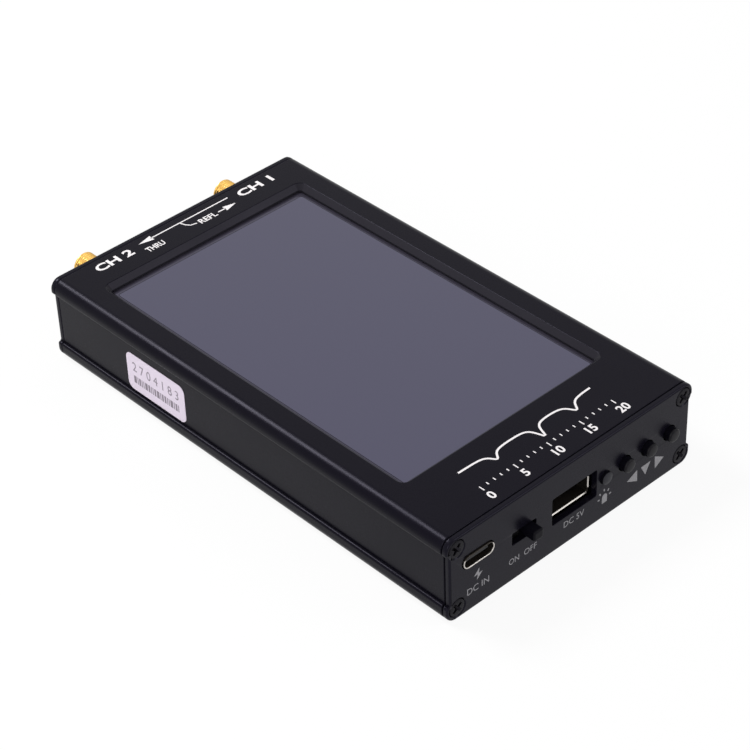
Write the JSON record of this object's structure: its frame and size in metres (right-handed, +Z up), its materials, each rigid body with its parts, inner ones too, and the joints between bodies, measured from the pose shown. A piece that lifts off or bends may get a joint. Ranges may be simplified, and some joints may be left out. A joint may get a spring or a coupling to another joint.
{
  "type": "antenna analyzer",
  "caption": "Hand-held antenna analyzer in a black extruded aluminium case, with a touch screen, coaxial test ports at the rear and a slide switch, buttons and sockets at the front.",
  "frame": {"origin": "centre of the case's underside, on the surface that the instrument lies on", "axes": "+Z up out of the screen, +Y towards the test ports, -Y towards the switch, buttons and sockets, +X to the right as the screen is read"},
  "size_m": [0.075, 0.1414, 0.022],
  "materials": {
    "case_black": "satin black anodised",
    "plate_black": "satin black anodised",
    "screw_black": "black oxide",
    "foam": "matte closed foam",
    "screen_glass": "glossy cover with a grey film",
    "display_film": "glossy",
    "white_plastic": "matte",
    "flex_amber": "glossy polyimide film",
    "socket_plastic": "matte moulded",
    "board_green": "solder mask",
    "shell_steel": "tinned",
    "gold_plate": "gold plated",
    "insulator_white": "waxy",
    "knob_black": "satin moulded",
    "button_black": "satin moulded",
    "switch_plastic": "matte moulded",
    "led_clear": "clear epoxy",
    "battery_foil": "laminated foil",
    "tape_white": "foam tape",
    "lead_insulation": "soft insulation",
    "plug_plastic": "natural nylon",
    "chip_black": "moulded epoxy",
    "label_paper": "satin paper label"
  },
  "bodies": {
    "case": {"case_extrusion": "case_black", "front_plate": "plate_black", "rear_plate": "plate_black", "front_plate_screws": "screw_black", "rear_plate_screws": "screw_black", "screen_gasket": "foam", "touch_panel": "screen_glass", "display_panel": "display_film", "backlight": "white_plastic", "screen_tape": "foam", "display_flex": "flex_amber", "display_flex_socket": "socket_plastic", "touch_flex": "flex_amber", "touch_flex_socket": "socket_plastic", "main_board": "board_green", "usb_c_shell": "shell_steel", "usb_c_tongue": "socket_plastic", "usb_a_shell": "shell_steel", "usb_a_tongue": "socket_plastic", "usb_a_contacts": "gold_plate", "power_switch_frame": "shell_steel", "push_switch_left": "switch_plastic", "push_switch_middle": "switch_plastic", "push_switch_right": "switch_plastic", "indicator_led": "led_clear", "port_1_body": "gold_plate", "port_1_insulator": "insulator_white", "port_1_contact": "gold_plate", "port_1_washer": "gold_plate", "port_1_nut": "gold_plate", "port_2_body": "gold_plate", "port_2_insulator": "insulator_white", "port_2_contact": "gold_plate", "port_2_washer": "gold_plate", "port_2_nut": "gold_plate", "battery_pack": "battery_foil", "battery_tape": "tape_white", "battery_leads": "lead_insulation", "battery_plug": "plug_plastic", "battery_socket": "plug_plastic", "processor": "chip_black", "memory_chip": "chip_black", "charger_chip": "chip_black", "boost_inductor": "chip_black", "clock_crystal": "shell_steel", "port_1_shield": "shell_steel", "port_2_shield": "shell_steel", "port_1_mixer": "chip_black", "port_2_mixer": "chip_black", "side_label": "label_paper"},
    "power_switch_slider": {"power_switch_knob": "knob_black"},
    "left_button": {"button_left": "button_black"},
    "middle_button": {"button_middle": "button_black"},
    "right_button": {"button_right": "button_black"}
  },
  "joints": [
    {"name": "power_switch", "type": "slide", "parent": "case", "child": "power_switch_slider", "axis": [-1, 0, 0], "range_m": [0, 0.0029]},
    {"name": "press_left", "type": "slide", "parent": "case", "child": "left_button", "axis": [0, 1, 0], "range_m": [0, 0.00035], "stiffness_N_per_m": 3000},
    {"name": "press_middle", "type": "slide", "parent": "case", "child": "middle_button", "axis": [0, 1, 0], "range_m": [0, 0.00035], "stiffness_N_per_m": 3000},
    {"name": "press_right", "type": "slide", "parent": "case", "child": "right_button", "axis": [0, 1, 0], "range_m": [0, 0.00035], "stiffness_N_per_m": 3000}
  ]
}
